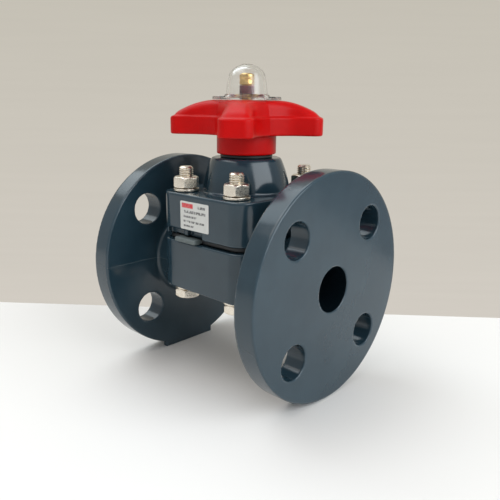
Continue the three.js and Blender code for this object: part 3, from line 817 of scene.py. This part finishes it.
fit(make_nut("hub_nut", "handwheel_nut", (0.0, 0.0), 17.5, 7.9, 10.0), ["handwheel_nut"],
    "handwheel_set", "brass")
fit(make_cover(), ["gauge_cover"], "handwheel_set", "clear")
fit(make_stem(), ["stem"], "stem_set", "brass")
travel_band = make_ring("travel_band", "indicator_band", (0.0, 0.0), BAND_INNER, BAND_OUTER, BAND_EDGE, 64)
fit(travel_band, ["indicator_band"], "stem_set", "band")
dust_ring = make_ring("dust_ring", "dust_seal", (0.0, 0.0), SEAL_INNER, SEAL_OUTER, SEAL_EDGE, 96)
fit(dust_ring, ["dust_seal"], "housing", "rubber")
fit(make_label(), ["name_label"], "housing", "print")

KEPT = {"diaphragm_insert": "steel", "compressor": "carrier", "compressor_pin": "steel", "sleeve": "brass",
        "thrust_ring_upper": "white", "thrust_ring_lower": "white", "sleeve_retainer": "carrier",
        "sleeve_o_ring": "rubber"}
for node, material in KEPT.items():
    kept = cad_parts[node]
    kept.data.materials.clear()
    kept.data.materials.append(MATERIALS[material])


# ---- Table, light and camera ----

CAMERA_AZIMUTH, CAMERA_ELEVATION, CAMERA_ROLL = (math.radians(a) for a in (43.15, 14.58, 0.66))
CAMERA_PLACE = (0.2323, -0.2438, 0.1605)
TABLE_SPREAD = 2.0
TABLE_DEPTH = 3.0
TABLE_THICKNESS = 0.03
WALL_DISTANCE = 1.0
WALL_HALF_WIDTH = 2.5
WALL_LOW, WALL_HIGH = -1.2, 2.2


def stage_material(name, colour, roughness):
    s = Shader(name, colour, roughness)
    tone = s.noise(6.0, 3.0)
    s.feed(s.bsdf.inputs["Base Color"], s.mix(tone, tuple(c * 0.985 for c in colour), colour))
    return s.material


def make_table():
    """A pale table top whose far edge runs close behind the object."""
    far_left, far_right = np.array([-0.2162, -0.0597]), np.array([0.087, 0.1931])
    along = (far_right - far_left) / np.linalg.norm(far_right - far_left)
    inward = np.array([along[1], -along[0]])
    a, b = far_left - along * TABLE_SPREAD, far_right + along * TABLE_SPREAD
    corners = [a, b, b + inward * TABLE_DEPTH, a + inward * TABLE_DEPTH]
    mesh = bpy.data.meshes.new("table_top")
    top = [(x, y, 0.0) for x, y in corners]
    under = [(x, y, -TABLE_THICKNESS) for x, y in corners]
    sides = [(i, (i + 1) % 4, (i + 1) % 4 + 4, i + 4) for i in range(4)]
    mesh.from_pydata(top + under, [], [(3, 2, 1, 0), (4, 5, 6, 7), *sides])
    obj = bpy.data.objects.new("table_top", mesh)
    obj.data.materials.append(stage_material("table_white", (0.86, 0.835, 0.81), 0.55))
    bpy.context.collection.objects.link(obj)


def make_wall():
    """A plain beige backdrop well behind the table, lighter towards its foot."""
    away = np.array([-math.sin(CAMERA_AZIMUTH), math.cos(CAMERA_AZIMUTH)])
    across = np.array([away[1], -away[0]])
    left, right = (away * WALL_DISTANCE + across * side * WALL_HALF_WIDTH for side in (-1, 1))
    corners = [(*left, WALL_LOW), (*right, WALL_LOW), (*right, WALL_HIGH), (*left, WALL_HIGH)]
    mesh = bpy.data.meshes.new("wall")
    mesh.from_pydata(corners, [], [(3, 2, 1, 0)])
    obj = bpy.data.objects.new("wall", mesh)
    s = Shader("wall_beige", (0.0, 0.0, 0.0), 1.0)
    height = s.spread(s.axis(2), -0.35, 0.45, 0.0, 1.0)
    tone = s.mix(height, (0.65, 0.61, 0.55), (0.555, 0.525, 0.455))
    streak = s.spread(s.noise(3.0, 4.0, 0.5, s.stretched((1.0, 1.0, 22.0))), 0.3, 0.7, 0.0, 0.06)
    s.feed(s.bsdf.inputs["Emission Color"], s.mix(streak, tone, (0.4, 0.38, 0.34)))
    s.bsdf.inputs["Emission Strength"].default_value = 1.0
    s.bsdf.inputs["Specular IOR Level"].default_value = 0.0
    obj.data.materials.append(s.material)
    bpy.context.collection.objects.link(obj)


def add_area(name, place, aim, size, power, colour):
    data = bpy.data.lights.new(name, "AREA")
    data.shape = "RECTANGLE"
    data.size, data.size_y = size
    data.energy = power
    data.color = colour
    obj = bpy.data.objects.new(name, data)
    obj.location = place
    direction = np.array(aim) - np.array(place)
    obj.rotation_mode = "QUATERNION"
    obj.rotation_quaternion = Vector(direction).to_track_quat("-Z", "Y")
    bpy.context.collection.objects.link(obj)


def make_world():
    world = bpy.data.worlds.new("studio")
    bpy.context.scene.world = world
    world.use_nodes = True
    background = world.node_tree.nodes["Background"]
    background.inputs["Color"].default_value = (0.52, 0.53, 0.54, 1.0)
    background.inputs["Strength"].default_value = 1.0


def make_camera():
    azimuth, elevation, roll = CAMERA_AZIMUTH, CAMERA_ELEVATION, CAMERA_ROLL
    forward = np.array([-math.sin(azimuth) * math.cos(elevation), math.cos(azimuth) * math.cos(elevation),
                        -math.sin(elevation)])
    right = np.cross(forward, (0.0, 0.0, 1.0))
    right /= np.linalg.norm(right)
    up = np.cross(right, forward)
    turned_right = math.cos(roll) * right + math.sin(roll) * up
    turned_up = math.cos(roll) * up - math.sin(roll) * right
    data = bpy.data.cameras.new("camera")
    data.sensor_width = 36.0
    data.lens = 41.68
    data.clip_start, data.clip_end = 0.01, 20.0
    obj = bpy.data.objects.new("camera", data)
    columns = Matrix([turned_right, turned_up, -forward]).transposed()
    obj.matrix_world = Matrix.Translation(CAMERA_PLACE) @ columns.to_4x4()
    bpy.context.collection.objects.link(obj)
    bpy.context.scene.camera = obj


make_table()
make_wall()
make_world()
add_area("key", (-0.25, -0.55, 1.2), (0.0, 0.0, 0.05), (1.0, 0.8), 4.6, (1.0, 0.97, 0.94))
add_area("window", (1.25, 0.1, 0.75), (0.0, 0.0, 0.06), (1.3, 1.1), 16.0, (0.90, 0.96, 1.0))
add_area("sky", (-0.8, 0.1, 1.25), (0.0, 0.0, 0.06), (1.2, 1.2), 9.0, (0.82, 0.93, 1.0))
make_camera()
bpy.context.scene.view_settings.view_transform = "Standard"

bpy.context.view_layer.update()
